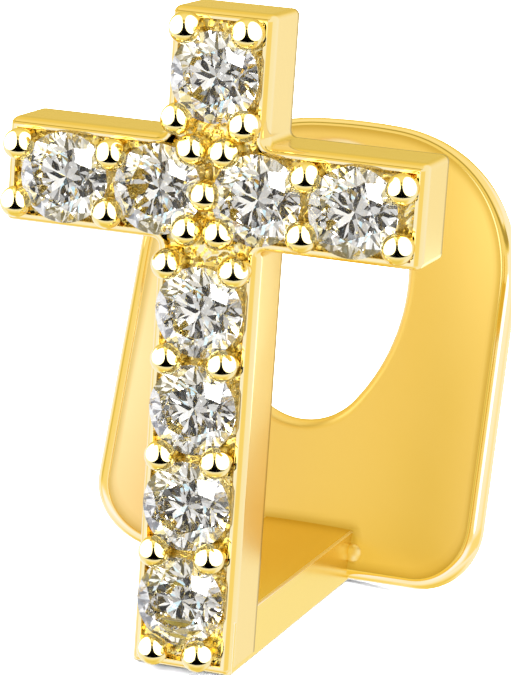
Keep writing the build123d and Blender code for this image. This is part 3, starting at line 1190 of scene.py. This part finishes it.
# Small glows: the piece, the spot on it, azimuth and elevation in degrees, distance and half size in
# millimetres, brightness and colour
SMALL_GLOWS = {
    "plate_right_glow": (plate, (3.4, PLATE_Y + 2.0, 8.0), -88.0, 21.0, 25.0, 6.0, 0.75, (0.9, 1.0, 1.1)),
    "plate_left_glow": (plate, (-3.2, PLATE_Y + 1.2, 2.8), 20.0, 21.0, 30.0, 8.0, 0.75, (0.6, 0.9, 2.3)),
    "shaft_glow": (setting, (BAR_HALF, 0.4, 6.6), 144.0, -12.0, 20.0, 3.0, 0.85, (0.6, 1.0, 1.1)),
}


def oval_light(name, size, place, glow, lit):
    """A light that the camera doesn't see, of this length and height in metres, for the pieces in lit."""
    data = bpy.data.lights.new(name, "AREA")
    data.shape = "ELLIPSE"
    data.size, data.size_y = size
    data.energy = glow * math.pi * math.pi / 4 * data.size * data.size_y
    light = new_object(name, data)
    light.matrix_world = place
    light.light_linking.receiver_collection = receivers(name, lit)
    light.visible_camera = False
    return data


def soft_box(name, middle, along, faces, half_long, half_high, glow, lit):
    """A soft box at this place from the object, sizes in shares of its distance."""
    axes = Matrix((along, along.cross(faces), -faces)).transposed().to_4x4()
    turn = Matrix.Rotation(VIEW_AZIMUTH, 4, "Z")
    size = (2 * half_long * LIGHT_DISTANCE, 2 * half_high * LIGHT_DISTANCE)
    oval_light(name, size, turn @ Matrix.Translation(middle * LIGHT_DISTANCE) @ axes, glow, lit)


def side_box(name, side, forward, rise, half_long, half_high, yaw, tilt, glow, lit):
    """A soft box beside the object, its face turned in and tilted up."""
    along = Vector((side * math.sin(yaw), math.cos(yaw), 0.0))
    faces = Vector((-side * math.cos(yaw) * math.cos(tilt), math.sin(yaw) * math.cos(tilt), math.sin(tilt)))
    up = along.cross(faces) * side
    middle = Vector((side, 0.0, 0.0)) + along * forward + up * rise
    soft_box(name, middle, along, faces, half_long, half_high, glow, lit)


def stone_window(azimuth, elevation, half_long, half_high, glow, lit):
    """A soft box that faces the object from this azimuth and elevation."""
    turn = math.radians(azimuth)
    place = direction(turn, math.radians(elevation))
    along = Vector((math.cos(turn), math.sin(turn), 0.0))
    soft_box("stone_window", place, along, -place, half_long, half_high, glow, lit)


def small_glow(name, piece, spot, azimuth, elevation, distance, half_size, glow, colour):
    """A soft light close to one piece and aimed at a spot on it; no other piece shades it."""
    away = direction(VIEW_AZIMUTH + math.radians(azimuth), math.radians(elevation))
    place = Matrix.Translation(TO_PART @ Vector(spot) + away * distance * MM)
    turn = away.to_track_quat("Z", "Y").to_matrix().to_4x4()
    light = oval_light(name, (2 * half_size * MM, 2 * half_size * MM), place @ turn, glow, [piece])
    light.color = colour
    light.use_shadow = False


floor()
studio = studio_group()
studio_world(studio)
front_card(studio, [piece for piece in metal if piece is not bead_piece])
for name, sizes in BEAD_BOXES.items():
    side_box(name, *sizes, BEAD_GLOW, [bead_piece])
for name, values in SMALL_GLOWS.items():
    small_glow(name, *values)
stone_window(*STONE_WINDOW, stones)

# Plain colours, and enough bounces for the stones' facets
scene = bpy.context.scene
scene.view_settings.view_transform = "Standard"
scene.view_settings.look = "None"
scene.cycles.max_bounces = 32
scene.cycles.transmission_bounces = 32
scene.cycles.glossy_bounces = 24
scene.cycles.caustics_reflective = False
scene.cycles.caustics_refractive = False
